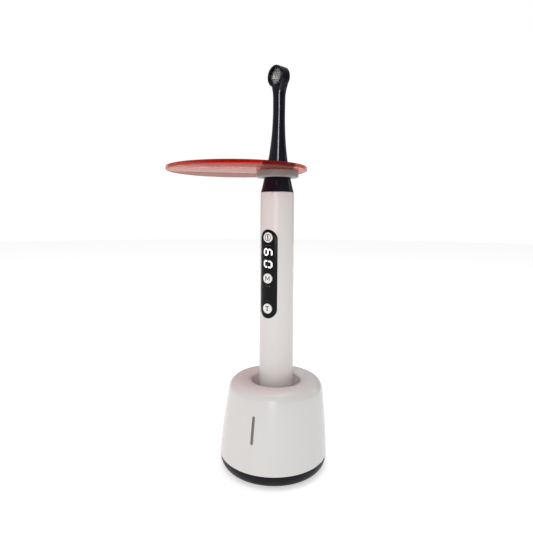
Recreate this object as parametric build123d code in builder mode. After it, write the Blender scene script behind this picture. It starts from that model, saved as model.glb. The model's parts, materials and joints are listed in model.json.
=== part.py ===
from build123d import *

import os
from math import cos, pi, radians, sin, sqrt

# A pen-type dental curing light standing in its charging dock.
# Origin on the table, on the pen's axis. +Z is up, and the dock's indicator bar faces -Y.
# All sizes are in millimetres and all turns are in degrees about +Z, counted from the front.

# Directions in which the turning pieces face at rest
handle_turn = -8.5
head_turn = -22.0
shield_turn = -75.0

# Fits
running_gap = 0.08      # radial gap of a piece that turns or slides in another
loose_gap = 0.3         # gap of pieces that only pass each other
seat_gap = 0.05         # gap of pieces that are pushed together and stay there
joint_line = 0.3        # visible line between two mouldings

# Dock
foot_radius = 35.0
foot_forward = 4.0      # how far the foot stands in front of the pen's axis
seam_z = 8.5            # line between the black cover and the white housing
dock_top_z = 56.4
mouth_widening = 4.5    # how much wider the mouth's edge is than the well
mouth_flare = 6.3       # from that edge out to the highest ring of the dock's top
crest_margin = 0.2      # flat ring between the mouth's curve and the shoulder's
shoulder_round = 7.5
side_bulge = 0.5        # how far the side swells out from a straight cone
dock_wall = 2.4
mouth_depth = 2.6       # from the highest ring down to the mouth's edge
funnel_depth = 13.8     # from the mouth's edge down to the plain well
well_wall = 2.1
well_floor_z = 14.0
seam_round = 0.6

# Dock's foot
pad_thickness = 1.6
pad_recess = 0.6
pad_edge = 0.3
pad_inside_screws = 3.0
foot_round = 4.7        # width of the cover's rounded edge
cover_floor = 2.4
cover_wall = 2.2
cover_lip_height = 2.4
cover_lip_gap = 0.75    # the housing leans, so its lip stands further in
boss_inset = 9.5        # from the foot's edge in to the screws
boss_radius = 3.2
boss_count = 4
boss_start = 45.0
cover_screw_radius = 1.25
cover_screw_length = 14.0
cover_screw_head_radius = 2.4
cover_screw_head_height = 1.6
ballast_thickness = 3.0
ballast_inset = 7.0

# Dock's electronics
dock_board_thickness = 1.6
dock_board_rim = 2.7    # board outside the circle of its screws
dock_board_tongue = 14.0
lug_step = 3.0          # from the well's tube out to the screws
lug_radius = 2.6
lug_height = 9.0
board_screw_radius = 0.9
board_screw_length = 6.0
board_screw_head_radius = 1.7
board_screw_head_height = 1.1
block_flange = 1.3
block_drop = 1.2        # from the well's floor down to the tube's lower end
screw_cross_reach = 1.3     # share of a screw head's radius
inlet_width = 9.0
inlet_height = 11.0
inlet_longest = 13.0
inlet_nose_radius = 4.0
inlet_bore_radius = 2.75
inlet_bore_depth = 9.5
inlet_pin_radius = 1.05
inlet_clear_of_well = 0.9
bar_width = 1.7
bar_length = 16.6
bar_drop = 22.3         # from the dock's top down to the bar's middle
bar_sink = 0.15
bar_inner_length = 3.0
indicator_board_width = 8.0
indicator_board_height = 20.0
indicator_board_thickness = 1.2
indicator_rib = 1.4
indicator_led_count = 3
indicator_led_size = 2.0
indicator_led_depth = 1.2

# Charging pins and the contacts above them
pin_circle = 5.0
pin_radius = 0.65
pin_tip_round = 0.39
pin_sleeve_wall = 0.3
pin_length = 4.0
pin_sleeve_below_board = 0.8
pin_sleeve_base = 0.4
pin_spring_wire = 0.11
pin_spring_turns = 5
contact_recess = 0.6
contact_thickness = 0.9
centre_contact_radius = 2.2
ring_contact_width = 2.0

# Handle
barrel_low_radius = 11.15
barrel_top_radius = 10.5
barrel_length = 150.6
barrel_straight = 44.0  # plain length below the taper
barrel_wall = 1.15      # at the barrel's narrow end
barrel_edge = 0.3
well_gap = 0.35         # gap between the barrel and the dock's well

# Tail cap
tail_height = 12.0
tail_spigot_height = 5.0
tail_spigot_wall = 1.5
tail_edge = 0.8
contact_holder_step = 0.63   # how far the holder's seat is cut into the cap
contact_holder_height = 4.0
seal_section = 0.45     # radius of a seal ring's round section
seal_groove_width = 1.3
battery_spring_wire = 0.5
battery_spring_turns = 5
battery_spring_radius = 5.0

# Battery
battery_gap = 0.2
battery_rise = 7.5      # above the barrel's lower end
battery_below_board = 8.0
battery_edge = 0.8
battery_nub_radius = 3.0
battery_nub_height = 1.0

# Control window
window_length = 56.0
window_width = 12.2
window_drop = 51.1      # from the barrel's top down to the window's middle
window_gap = 0.04
button_radius = 3.2
button_gap = 0.1
button_proud = 0.25
button_edge = 0.35
button_travel = 0.3
button_flange = 0.7
button_flange_thickness = 0.6
button_flange_inset = 1.25   # from the bore in to the flange's outer face
# Heights of the buttons and digits above the window's middle
button_rises = {"power": 23.0, "mode": -2.6, "time": -21.7}
first_digit_rise = 13.8
second_digit_rise = 6.4
digit_height = 6.4
digit_width = 4.8
digit_stroke = 1.1
digit_slant = 0.12
digit_gap = 0.15

# Inside the handle
# Heights in this section are above the window's middle
board_inset = 4.75      # from the bore in to the main board's front
board_thickness = 1.2
board_side_inset = 1.85
board_bottom_rise = -34.5
board_top_rise = 35.5
carrier_wall = 1.25
carrier_rail = 1.6
carrier_rail_depth = 1.2
carrier_end = 2.0
carrier_end_gap = 1.5
post_radius = 1.9
handle_screw_radius = 0.75
handle_screw_inset = 3.0
handle_screw_head_radius = 1.4
handle_screw_head_height = 0.8
switch_width = 4.4
switch_height = 1.6
switch_plunger_radius = 1.1
display_length = 17.0
display_share = 0.6     # of the board's width
display_inset = 1.35
chip_size = 7.0
chip_thickness = 1.0
chip_rise = 0.5
inductor_radius = 3.2
inductor_height = 3.4
inductor_rise = -15.5
capacitor_radius = 1.6
capacitor_height = 3.0
capacitor_spacing = 4.2
capacitor_rise = -8.0
buzzer_radius = 4.3
buzzer_height = 3.0
buzzer_bore = 0.8
buzzer_rise = 17.5
socket_radius = 5.0
socket_height = 7.4
plug_radius = 1.5
plug_tip_rise = 1.0
plug_holder_height = 3.0
plug_holder_gap = 0.5
battery_contact_radius = 5.0
battery_contact_thickness = 0.6

# Head
head_rise = 70.3        # from the barrel's top up to the lens's middle
head_radius = 6.45
head_front = 3.1
head_back = 6.0
head_back_chamfer = 2.2
head_front_edge = 0.5
head_wall = 0.75
head_back_wall = 2.1
spigot_length = 8.0
spigot_wall = 1.45
snap_ring_thickness = 1.0
snap_ring_depth = 0.85
snap_ring_gap = 0.1
snap_ring_bite = 0.4
snap_ring_opening = 4.0
snap_ring_rise = 2.0
head_seal_rise = 5.4
plug_chamber_height = 4.0
plug_chamber_taper = 30.0
wire_bore_radius = 2.0
wire_bore_back = 1.4
wire_radius = 0.4
wire_spacing = 1.4
wire_back = 1.95
neck_step = 0.12        # from the barrel's edge in to the neck
# The neck's outline: rise above the barrel, half width across the head, half depth, and
# lean to the back
neck_outline = [
    (0.0, barrel_top_radius - neck_step, barrel_top_radius - neck_step, 0.0),
    (6.4, 8.80, 8.80, 0.0),
    (14.4, 7.12, 7.12, 0.15),
    (22.9, 5.62, 5.62, 0.4),
    (31.9, 4.58, 4.58, 0.65),
    (43.9, 3.86, 3.86, 0.95),
    (55.4, 3.80, 3.80, 1.1),
    (61.0, 4.15, 4.0, 1.15),
    (65.2, head_radius - 0.9, 4.3, 1.35),
    (69.0, head_radius - 0.35, 4.5, 1.5),
]

# Inside the head, from the back to the front
heat_slug_thickness = 1.5
led_board_thickness = 0.8
led_board_margin = 0.3
led_size = 3.4
led_thickness = 0.7
led_dome_radius = 1.2
led_dome_taper = 30.0
reflector_height = 2.5
reflector_mouth_wall = 0.75
reflector_throat_radius = 2.6
lens_flange = 0.6
lens_dome = 0.9
lens_rim = 0.9
bezel_slope = 0.35

# Light shield
disc_radius = 44.5
disc_thickness = 2.4
disc_rise = 13.4        # from the barrel's top up to the disc's underside
disc_offset = 26.1
disc_edge = 0.35
grommet_radius = 13.3
grommet_height = 4.3
grommet_hub_radius = 10.2
grommet_lip_radius = 11.6
grommet_lip_height = 1.3
grommet_edge = 0.5
grommet_cone_gap = 0.1
slide_off_gap = 0.3

# ------------------------------------------------------------------ worked-out values
well_radius = barrel_low_radius + well_gap
mouth_radius = well_radius + mouth_widening
crest_radius = mouth_radius + mouth_flare
foot_flat_radius = foot_radius - foot_round
boss_circle = foot_radius - boss_inset
pad_radius = boss_circle - pad_inside_screws
ballast_radius = foot_radius - ballast_inset
bar_centre_z = dock_top_z - bar_drop
cover_bottom_z = pad_thickness - pad_recess
cover_floor_z = cover_bottom_z + cover_floor
dock_top_radius = crest_radius + shoulder_round + crest_margin
tail_radius = barrel_low_radius - seat_gap
contact_z = well_floor_z + contact_recess
barrel_bottom_z = well_floor_z + tail_height
barrel_top_z = barrel_bottom_z + barrel_length
taper_start_z = barrel_bottom_z + barrel_straight
barrel_bore = barrel_top_radius - barrel_wall
spigot_radius = barrel_bore - running_gap
spigot_bottom_z = barrel_top_z - spigot_length
spigot_bore = spigot_radius - spigot_wall
window_centre_z = barrel_top_z - window_drop
button_heights = {name: window_centre_z + rise for name, rise in button_rises.items()}
button_flange_face = barrel_bore - button_flange_inset
board_face = barrel_bore - board_inset
board_width = (barrel_bore - board_side_inset) * 2
board_bottom_z = window_centre_z + board_bottom_rise
board_top_z = window_centre_z + board_top_rise
display_width = board_width * display_share
display_face = barrel_bore - display_inset
battery_radius = barrel_bore - battery_gap
battery_bottom_z = barrel_bottom_z + battery_rise
battery_top_z = board_bottom_z - battery_below_board
head_z = barrel_top_z + head_rise
head_pocket_radius = head_radius - head_wall
lens_radius = head_pocket_radius - lens_rim
disc_bottom_z = barrel_top_z + disc_rise
neck_sections = [(barrel_top_z + rise, *shape) for rise, *shape in neck_outline]


def level(height):
    """A horizontal plane at a height above the table."""
    return Plane.XY.offset(height)


def facing(turn, distance=0.0):
    """An upright plane facing outwards at a turn from the front; its y is the height."""
    outward = Vector(sin(radians(turn)), -cos(radians(turn)), 0)
    across = Vector(cos(radians(turn)), sin(radians(turn)), 0)
    return Plane(origin=outward * distance, x_dir=across, z_dir=outward)


def barrel_radius_at(height):
    """The outer radius of the handle at a height."""
    share = (height - taper_start_z) / (barrel_top_z - taper_start_z)
    share = min(max(share, 0), 1)
    return barrel_low_radius + (barrel_top_radius - barrel_low_radius) * share


def dock_section(height):
    """The outer radius and the forward shift of the dock at a height."""
    share = (height - seam_z) / (dock_top_z - seam_z)
    straight = foot_radius + (dock_top_radius - foot_radius) * share
    radius = straight + side_bulge * 4 * share * (1 - share)
    return radius, foot_forward * (1 - share)


def rear_inside_at(height, half_width):
    """How far back a piece of some width reaches before it meets the housing's inner wall."""
    radius, forward = dock_section(height)
    return sqrt((radius - dock_wall) ** 2 - half_width**2) - forward


def dock_form(inset, bottom, top, rounding):
    """The dock's solid outer form, or the same form moved inwards."""
    with BuildPart() as form:
        for height in (bottom, (bottom + top) / 2, top):
            radius, forward = dock_section(height)
            with BuildSketch(level(height)):
                with Locations((0, -forward)):
                    Circle(radius - inset)
        loft()
        fillet(form.edges().group_by(Axis.Z)[-1], rounding)
    return form.part


def barrel_form():
    """The handle's solid outer form."""
    with BuildPart() as form:
        with BuildSketch(Plane.XZ):
            with BuildLine():
                Polyline(
                    (0, barrel_bottom_z),
                    (barrel_low_radius, barrel_bottom_z),
                    (barrel_low_radius, taper_start_z),
                    (barrel_top_radius, barrel_top_z),
                    (0, barrel_top_z),
                    close=True,
                )
            make_face()
        revolve(axis=Axis.Z)
    return form.part


def coil_spring(centre, bottom, height, coil_radius, wire_radius, turns):
    """A coil spring standing on a height, as a round wire along a helix."""
    pitch = (height - 2 * wire_radius) / turns
    with BuildPart() as spring:
        with BuildLine() as path:
            Helix(pitch, pitch * turns, coil_radius, center=(*centre, bottom + wire_radius))
        with BuildSketch(Plane(origin=path.line @ 0, z_dir=path.line % 0)):
            Circle(wire_radius)
        sweep(path=path.line, is_frenet=True)
    return spring.part


def seal_ring(height, groove_floor):
    """A rubber ring lying in a groove."""
    with BuildPart() as ring:
        with BuildSketch(Plane.XZ):
            with Locations((groove_floor + seal_section, height)):
                Circle(seal_section)
        revolve(axis=Axis.Z)
    return ring.part


def save(part, name):
    """Labels a piece and writes it to its own file."""
    part.label = name
    export_step(part, f"parts/{name}.step")


os.makedirs("parts", exist_ok=True)

# ------------------------------------------------------------------ dock
housing_outside = dock_form(0, seam_z, dock_top_z, shoulder_round)
housing_inside = dock_form(dock_wall, seam_z, dock_top_z - dock_wall, shoulder_round - dock_wall)
mouth_z = dock_top_z - mouth_depth
well_top_z = mouth_z - funnel_depth
tube_bottom_z = well_floor_z - block_drop
block_flange_z = tube_bottom_z - block_flange
dock_board_z = block_flange_z - dock_board_thickness
tube_radius = well_radius + well_wall
lug_circle = tube_radius + lug_step
dock_board_radius = lug_circle + dock_board_rim
inlet_y = tube_radius + inlet_clear_of_well
inlet_z = block_flange_z + inlet_height / 2
rear_radius, rear_forward = dock_section(inlet_z)
rear_wall_y = rear_radius - rear_forward
inlet_end_y = min(
    inlet_y + inlet_longest,
    rear_inside_at(dock_board_z, dock_board_tongue / 2) - loose_gap,
    rear_inside_at(inlet_z - inlet_height / 2, inlet_width / 2) - loose_gap,
    rear_inside_at(inlet_z + inlet_height / 2, inlet_width / 2) - loose_gap,
)
inlet_length = inlet_end_y - inlet_y
bar_radius, bar_forward = dock_section(bar_centre_z)
bar_wall_y = bar_radius + bar_forward
indicator_board_y = bar_wall_y - dock_wall - bar_inner_length - indicator_led_depth

with BuildPart() as screw_bosses:
    with BuildSketch(Plane((0, -foot_forward, seam_z))):
        with PolarLocations(boss_circle, boss_count, start_angle=boss_start):
            Circle(boss_radius)
    extrude(amount=dock_top_z)
    add(housing_outside, mode=Mode.INTERSECT)
    with BuildSketch(Plane((0, -foot_forward, cover_floor_z))):
        with PolarLocations(boss_circle, boss_count, start_angle=boss_start):
            Circle(boss_radius)
    extrude(amount=seam_z - cover_floor_z)

with BuildPart() as dock_housing:
    add(housing_outside)
    add(housing_inside, mode=Mode.SUBTRACT)
    # Block from which the mouth and the well are cut
    with BuildSketch(Plane.XZ):
        with BuildLine():
            Line((0, tube_bottom_z), (tube_radius, tube_bottom_z))
            Line((tube_radius, tube_bottom_z), (tube_radius, well_top_z))
            Line((tube_radius, well_top_z), (mouth_radius + dock_wall, mouth_z))
            Line((mouth_radius + dock_wall, mouth_z), (crest_radius, dock_top_z - dock_wall))
            Line((crest_radius, dock_top_z - dock_wall), (crest_radius, dock_top_z))
            Line((crest_radius, dock_top_z), (0, dock_top_z))
            Line((0, dock_top_z), (0, tube_bottom_z))
        make_face()
    revolve(axis=Axis.Z)
    # Two lugs for the board's screws
    with BuildSketch(level(tube_bottom_z)):
        for side in (-1, 1):
            with Locations((side * (lug_circle + tube_radius) / 2, 0)):
                Rectangle(lug_circle - tube_radius + well_wall, lug_radius * 2)
            with Locations((side * lug_circle, 0)):
                Circle(lug_radius)
    extrude(amount=lug_height)
    # Rounded mouth, funnel and well
    with BuildSketch(Plane.XZ):
        with BuildLine():
            Line((0, tube_bottom_z), (well_radius, tube_bottom_z))
            Line((well_radius, tube_bottom_z), (well_radius, well_top_z))
            Line((well_radius, well_top_z), (mouth_radius, mouth_z))
            EllipticalCenterArc(
                (crest_radius, mouth_z),
                crest_radius - mouth_radius,
                mouth_depth,
                start_angle=90,
                arc_size=90,
            )
            Line((crest_radius, dock_top_z), (0, dock_top_z))
            Line((0, dock_top_z), (0, tube_bottom_z))
        make_face()
    revolve(axis=Axis.Z, mode=Mode.SUBTRACT)
    # Ribs that hold the indicator's board
    with BuildSketch(Plane.XZ.offset(indicator_board_y - indicator_board_thickness)):
        for side in (-1, 1):
            rib_x = (indicator_board_width + indicator_rib) / 2 + seat_gap
            with Locations((side * rib_x, bar_centre_z)):
                Rectangle(indicator_rib, indicator_board_height)
    extrude(amount=bar_wall_y - indicator_board_y)
    add(housing_outside, mode=Mode.INTERSECT)
    add(screw_bosses.part)
    # Slot for the indicator bar, hole for the power inlet, and pilot holes
    with BuildSketch(Plane.XZ.offset(indicator_board_y)):
        with Locations((0, bar_centre_z)):
            SlotOverall(bar_length + seat_gap * 2, bar_width + seat_gap * 2, rotation=90)
    extrude(amount=foot_radius, mode=Mode.SUBTRACT)
    with BuildSketch(Plane.XZ.offset(-inlet_y - inlet_length)):
        with Locations((0, inlet_z)):
            Circle(inlet_nose_radius + loose_gap)
    extrude(amount=-foot_radius, mode=Mode.SUBTRACT)
    with BuildSketch(Plane((0, -foot_forward, cover_floor_z))):
        with PolarLocations(boss_circle, boss_count, start_angle=boss_start):
            Circle(cover_screw_radius)
    extrude(amount=cover_screw_length, mode=Mode.SUBTRACT)
    with BuildSketch(level(tube_bottom_z)):
        with Locations((-lug_circle, 0), (lug_circle, 0)):
            Circle(board_screw_radius)
    extrude(amount=board_screw_length, mode=Mode.SUBTRACT)
    rim_length = 2 * pi * foot_radius
    rim = min(dock_housing.edges(), key=lambda edge: abs(edge.length - rim_length))
    fillet(rim, seam_round)
save(dock_housing.part, "dock_housing")

with BuildPart() as bottom_cover:
    with BuildSketch(Plane.XZ.offset(foot_forward)):
        with BuildLine():
            Line((0, cover_bottom_z), (foot_flat_radius, cover_bottom_z))
            EllipticalCenterArc(
                (foot_flat_radius, seam_z - joint_line),
                foot_radius - joint_line - foot_flat_radius,
                seam_z - joint_line - cover_bottom_z,
                start_angle=-90,
                arc_size=90,
            )
            Line((foot_radius - joint_line, seam_z - joint_line), (0, seam_z - joint_line))
            Line((0, seam_z - joint_line), (0, cover_bottom_z))
        make_face()
    revolve(axis=Axis((0, -foot_forward, 0), (0, 0, 1)))
    # Lip that locates the housing
    with BuildSketch(Plane((0, -foot_forward, seam_z - joint_line))):
        Circle(foot_radius - dock_wall - cover_lip_gap)
    extrude(amount=joint_line + cover_lip_height)
    with BuildSketch(Plane((0, -foot_forward, cover_floor_z))):
        Circle(foot_radius - dock_wall - cover_lip_gap - cover_wall)
    extrude(amount=seam_z, mode=Mode.SUBTRACT)
    # Notch in the lip for the board's tongue
    with BuildSketch(level(dock_board_z - loose_gap)):
        with Locations((0, foot_radius)):
            Rectangle(dock_board_tongue + loose_gap * 2, foot_radius)
    extrude(amount=seam_z, mode=Mode.SUBTRACT)
    # Recess for the rubber pad
    with BuildSketch(Plane((0, -foot_forward, cover_bottom_z))):
        Circle(pad_radius + seat_gap)
    extrude(amount=pad_recess, mode=Mode.SUBTRACT)
    # Countersunk places and holes for the four screws
    with BuildSketch(Plane((0, -foot_forward, cover_bottom_z))):
        with PolarLocations(boss_circle, boss_count, start_angle=boss_start):
            Circle(cover_screw_head_radius + seat_gap)
    extrude(amount=cover_screw_head_height, mode=Mode.SUBTRACT)
    with BuildSketch(Plane((0, -foot_forward, cover_bottom_z))):
        with PolarLocations(boss_circle, boss_count, start_angle=boss_start):
            Circle(cover_screw_radius)
    extrude(amount=cover_floor, mode=Mode.SUBTRACT)
save(bottom_cover.part, "bottom_cover")

with BuildPart() as base_pad:
    with BuildSketch(Plane((0, -foot_forward, 0))):
        Circle(pad_radius)
    extrude(amount=pad_thickness)
    chamfer(base_pad.edges().group_by(Axis.Z)[0], pad_edge)
save(base_pad.part, "base_pad")

with BuildPart() as cover_screws:
    with BuildSketch(Plane((0, -foot_forward, cover_bottom_z))):
        with PolarLocations(boss_circle, boss_count, start_angle=boss_start):
            Circle(cover_screw_head_radius)
    extrude(amount=cover_screw_head_height)
    with BuildSketch(Plane((0, -foot_forward, cover_bottom_z + cover_screw_head_height))):
        with PolarLocations(boss_circle, boss_count, start_angle=boss_start):
            Circle(cover_screw_radius)
    extrude(amount=cover_screw_length)
    # Cross recesses in the heads
    with BuildSketch(Plane((0, -foot_forward, cover_bottom_z))):
        with PolarLocations(boss_circle, boss_count, start_angle=boss_start):
            Rectangle(cover_screw_head_radius * screw_cross_reach, cover_screw_radius / 2)
            Rectangle(cover_screw_radius / 2, cover_screw_head_radius * screw_cross_reach)
    extrude(amount=cover_screw_head_height / 2, mode=Mode.SUBTRACT)
save(cover_screws.part, "cover_screws")

with BuildPart() as ballast_plate:
    with BuildSketch(Plane((0, -foot_forward, cover_floor_z))):
        Circle(ballast_radius)
        with PolarLocations(boss_circle, boss_count, start_angle=boss_start):
            Circle(boss_radius + loose_gap, mode=Mode.SUBTRACT)
    extrude(amount=ballast_thickness)
save(ballast_plate.part, "ballast_plate")

with BuildPart() as dock_board:
    with BuildSketch(level(dock_board_z)):
        Circle(dock_board_radius)
        with Locations((0, inlet_end_y / 2)):
            Rectangle(dock_board_tongue, inlet_end_y)
        with Locations((-lug_circle, 0), (lug_circle, 0)):
            Circle(board_screw_radius + seat_gap, mode=Mode.SUBTRACT)
        with Locations((0, 0), (pin_circle, 0)):
            Circle(pin_radius + running_gap + pin_sleeve_wall, mode=Mode.SUBTRACT)
        with Locations((0, -foot_forward)):
            with PolarLocations(boss_circle, boss_count, start_angle=boss_start):
                Circle(boss_radius + loose_gap, mode=Mode.SUBTRACT)
    extrude(amount=dock_board_thickness)
save(dock_board.part, "dock_board")

with BuildPart() as dock_board_screws:
    with BuildSketch(level(dock_board_z)):
        with Locations((-lug_circle, 0), (lug_circle, 0)):
            Circle(board_screw_head_radius)
    extrude(amount=-board_screw_head_height)
    with BuildSketch(level(dock_board_z)):
        with Locations((-lug_circle, 0), (lug_circle, 0)):
            Circle(board_screw_radius)
    extrude(amount=dock_board_thickness + board_screw_length)
save(dock_board_screws.part, "dock_board_screws")

sleeve_radius = pin_radius + running_gap + pin_sleeve_wall
sleeve_bottom_z = dock_board_z - pin_sleeve_below_board
sleeve_top_z = well_floor_z - contact_recess
pin_places = {"centre": (0, 0), "ring": (pin_circle, 0)}

with BuildPart() as contact_block:
    with BuildSketch(level(block_flange_z)):
        Circle(tube_radius)
    extrude(amount=block_flange)
    with BuildSketch(level(tube_bottom_z)):
        Circle(well_radius - seat_gap)
    extrude(amount=well_floor_z - tube_bottom_z)
    with BuildSketch(level(block_flange_z)):
        with Locations(*pin_places.values()):
            Circle(sleeve_radius)
    extrude(amount=well_floor_z, mode=Mode.SUBTRACT)
save(contact_block.part, "contact_block")

with BuildPart() as pin_sleeves:
    with BuildSketch(level(sleeve_bottom_z)):
        with Locations(*pin_places.values()):
            Circle(sleeve_radius)
    extrude(amount=sleeve_top_z - sleeve_bottom_z)
    with BuildSketch(level(sleeve_bottom_z + pin_sleeve_base)):
        with Locations(*pin_places.values()):
            Circle(pin_radius + running_gap)
    extrude(amount=sleeve_top_z, mode=Mode.SUBTRACT)
save(pin_sleeves.part, "pin_sleeves")

pin_bottom_z = contact_z - pin_length
for place_name, place in pin_places.items():
    with BuildPart() as charging_pin:
        with BuildSketch(level(pin_bottom_z)):
            with Locations(place):
                Circle(pin_radius)
        extrude(amount=pin_length)
        fillet(charging_pin.edges().group_by(Axis.Z)[-1], pin_tip_round)
    save(charging_pin.part, f"{place_name}_pin")
    spring_bottom_z = sleeve_bottom_z + pin_sleeve_base
    save(
        coil_spring(
            place,
            spring_bottom_z,
            pin_bottom_z - spring_bottom_z,
            pin_radius - pin_spring_wire,
            pin_spring_wire,
            pin_spring_turns,
        ),
        f"{place_name}_pin_spring",
    )

with BuildPart() as power_inlet:
    with BuildSketch(Plane.XZ.offset(-inlet_y)):
        with Locations((0, inlet_z)):
            Rectangle(inlet_width, inlet_height)
    extrude(amount=-inlet_length)
    with BuildSketch(Plane.XZ.offset(-inlet_end_y)):
        with Locations((0, inlet_z)):
            Circle(inlet_nose_radius)
    extrude(amount=-(rear_wall_y - inlet_end_y - joint_line))
    nose_end_y = rear_wall_y - joint_line
    with BuildSketch(Plane.XZ.offset(-nose_end_y)):
        with Locations((0, inlet_z)):
            Circle(inlet_bore_radius)
            Circle(inlet_pin_radius, mode=Mode.SUBTRACT)
    extrude(amount=inlet_bore_depth, mode=Mode.SUBTRACT)
save(power_inlet.part, "power_inlet")

with BuildPart() as indicator_bar:
    with BuildSketch(Plane.XZ.offset(bar_wall_y - dock_wall - bar_inner_length)):
        with Locations((0, bar_centre_z)):
            SlotOverall(bar_length, bar_width, rotation=90)
    extrude(amount=foot_radius)
    add(dock_form(bar_sink, seam_z, dock_top_z, shoulder_round), mode=Mode.INTERSECT)
save(indicator_bar.part, "indicator_bar")

with BuildPart() as indicator_board:
    with BuildSketch(Plane.XZ.offset(indicator_board_y - indicator_board_thickness)):
        with Locations((0, bar_centre_z)):
            Rectangle(indicator_board_width, indicator_board_height)
    extrude(amount=indicator_board_thickness)
save(indicator_board.part, "indicator_board")

with BuildPart() as indicator_leds:
    with BuildSketch(Plane.XZ.offset(indicator_board_y)):
        led_pitch = bar_length / indicator_led_count
        with Locations((0, bar_centre_z)):
            with GridLocations(1, led_pitch, 1, indicator_led_count):
                Rectangle(indicator_led_size, indicator_led_size)
    extrude(amount=indicator_led_depth)
save(indicator_leds.part, "indicator_leds")

# ------------------------------------------------------------------ tail of the handpiece
spigot_top_z = barrel_bottom_z + tail_spigot_height
holder_bottom_z = contact_z
holder_top_z = holder_bottom_z + contact_holder_height
tail_bore = spigot_radius - tail_spigot_wall
contact_holder_radius = tail_bore + contact_holder_step
seal_groove_floor = barrel_bore - seal_section * 2 - seat_gap

with BuildPart() as tail_cap:
    with BuildSketch(level(well_floor_z)):
        Circle(tail_radius)
    extrude(amount=barrel_bottom_z - well_floor_z)
    chamfer(tail_cap.edges().group_by(Axis.Z)[0], tail_edge)
    with BuildSketch(level(barrel_bottom_z)):
        Circle(spigot_radius)
    extrude(amount=tail_spigot_height)
    with BuildSketch(level(well_floor_z)):
        Circle(tail_bore)
    extrude(amount=spigot_top_z - well_floor_z, mode=Mode.SUBTRACT)
    with BuildSketch(level(holder_bottom_z)):
        Circle(contact_holder_radius)
    extrude(amount=contact_holder_height, mode=Mode.SUBTRACT)
    # Groove for the seal ring
    with BuildSketch(level(spigot_top_z - tail_spigot_height / 2 - seal_groove_width / 2)):
        Circle(spigot_radius)
        Circle(seal_groove_floor, mode=Mode.SUBTRACT)
    extrude(amount=seal_groove_width, mode=Mode.SUBTRACT)
save(tail_cap.part, "tail_cap")
tail_seal = seal_ring(spigot_top_z - tail_spigot_height / 2, seal_groove_floor)
save(tail_seal, "tail_seal")

ring_inner = pin_circle - ring_contact_width / 2
ring_outer = pin_circle + ring_contact_width / 2
with BuildPart() as contact_holder:
    with BuildSketch(level(holder_bottom_z)):
        Circle(contact_holder_radius - seat_gap)
    extrude(amount=contact_holder_height)
    with BuildSketch(level(holder_bottom_z)):
        Circle(centre_contact_radius)
    extrude(amount=contact_thickness, mode=Mode.SUBTRACT)
    with BuildSketch(level(holder_bottom_z)):
        Circle(ring_outer)
        Circle(ring_inner, mode=Mode.SUBTRACT)
    extrude(amount=contact_thickness, mode=Mode.SUBTRACT)
save(contact_holder.part, "contact_holder")

with BuildPart() as centre_contact:
    with BuildSketch(level(holder_bottom_z)):
        Circle(centre_contact_radius)
    extrude(amount=contact_thickness)
save(centre_contact.part, "centre_contact")

with BuildPart() as ring_contact:
    with BuildSketch(level(holder_bottom_z)):
        Circle(ring_outer)
        Circle(ring_inner, mode=Mode.SUBTRACT)
    extrude(amount=contact_thickness)
save(ring_contact.part, "ring_contact")

battery_spring = coil_spring(
    (0, 0),
    holder_top_z,
    battery_bottom_z - holder_top_z,
    battery_spring_radius,
    battery_spring_wire,
    battery_spring_turns,
)
save(battery_spring, "battery_spring")

# ------------------------------------------------------------------ handle
board_back = board_face - board_thickness
carrier_bottom_z = battery_top_z + battery_nub_height + carrier_end_gap
carrier_top_z = board_top_z + carrier_end_gap + carrier_end
ring_mid_z = spigot_bottom_z + snap_ring_rise
snap_ring_outer = barrel_bore + snap_ring_bite

with BuildPart() as barrel:
    add(barrel_form())
    with BuildSketch(level(barrel_bottom_z)):
        Circle(barrel_bore)
    extrude(amount=barrel_top_z, mode=Mode.SUBTRACT)
    fillet(barrel.edges().group_by(Axis.Z)[-1].sort_by(SortBy.LENGTH)[-1], barrel_edge)
    with BuildSketch(facing(handle_turn)):
        with Locations((0, window_centre_z)):
            SlotOverall(window_length, window_width, rotation=90)
    extrude(amount=barrel_low_radius * 2, mode=Mode.SUBTRACT)
    # Groove that the head's snap ring sits in
    with BuildSketch(level(ring_mid_z - snap_ring_thickness / 2 - snap_ring_gap)):
        Circle(snap_ring_outer + snap_ring_gap)
    extrude(amount=snap_ring_thickness + snap_ring_gap * 2, mode=Mode.SUBTRACT)
save(barrel.part, "barrel")


def digit_outlines(centre_height, segments):
    """Corners of the strokes of one seven-segment digit, whose top points across the window."""
    half_width = (digit_width - digit_stroke) / 2
    half_height = (digit_height - digit_stroke) / 2
    tip = digit_stroke / 2
    across = half_width - tip - digit_gap
    upright = half_height / 2 - tip - digit_gap
    places = {
        "top": (0, half_height, True),
        "middle": (0, 0, True),
        "bottom": (0, -half_height, True),
        "upper_left": (-half_width, half_height / 2, False),
        "upper_right": (half_width, half_height / 2, False),
        "lower_left": (-half_width, -half_height / 2, False),
        "lower_right": (half_width, -half_height / 2, False),
    }
    outlines = []
    for segment in segments:
        x, y, lies = places[segment]
        if lies:
            corners = [(-across - tip, 0), (-across, tip), (across, tip)]
        else:
            corners = [(0, upright + tip), (tip, upright), (tip, -upright)]
        corners += [(-u, -v) for u, v in corners]
        slanted = [(x + u + (y + v) * digit_slant, y + v) for u, v in corners]
        outlines.append([(v, centre_height - u) for u, v in slanted])
    return outlines


left_strokes = ("upper_left", "lower_left")
closed_strokes = left_strokes + ("lower_right", "top", "bottom")
digit_strokes = digit_outlines(window_centre_z + first_digit_rise, closed_strokes + ("middle",))
digit_strokes += digit_outlines(window_centre_z + second_digit_rise, closed_strokes + ("upper_right",))

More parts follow.
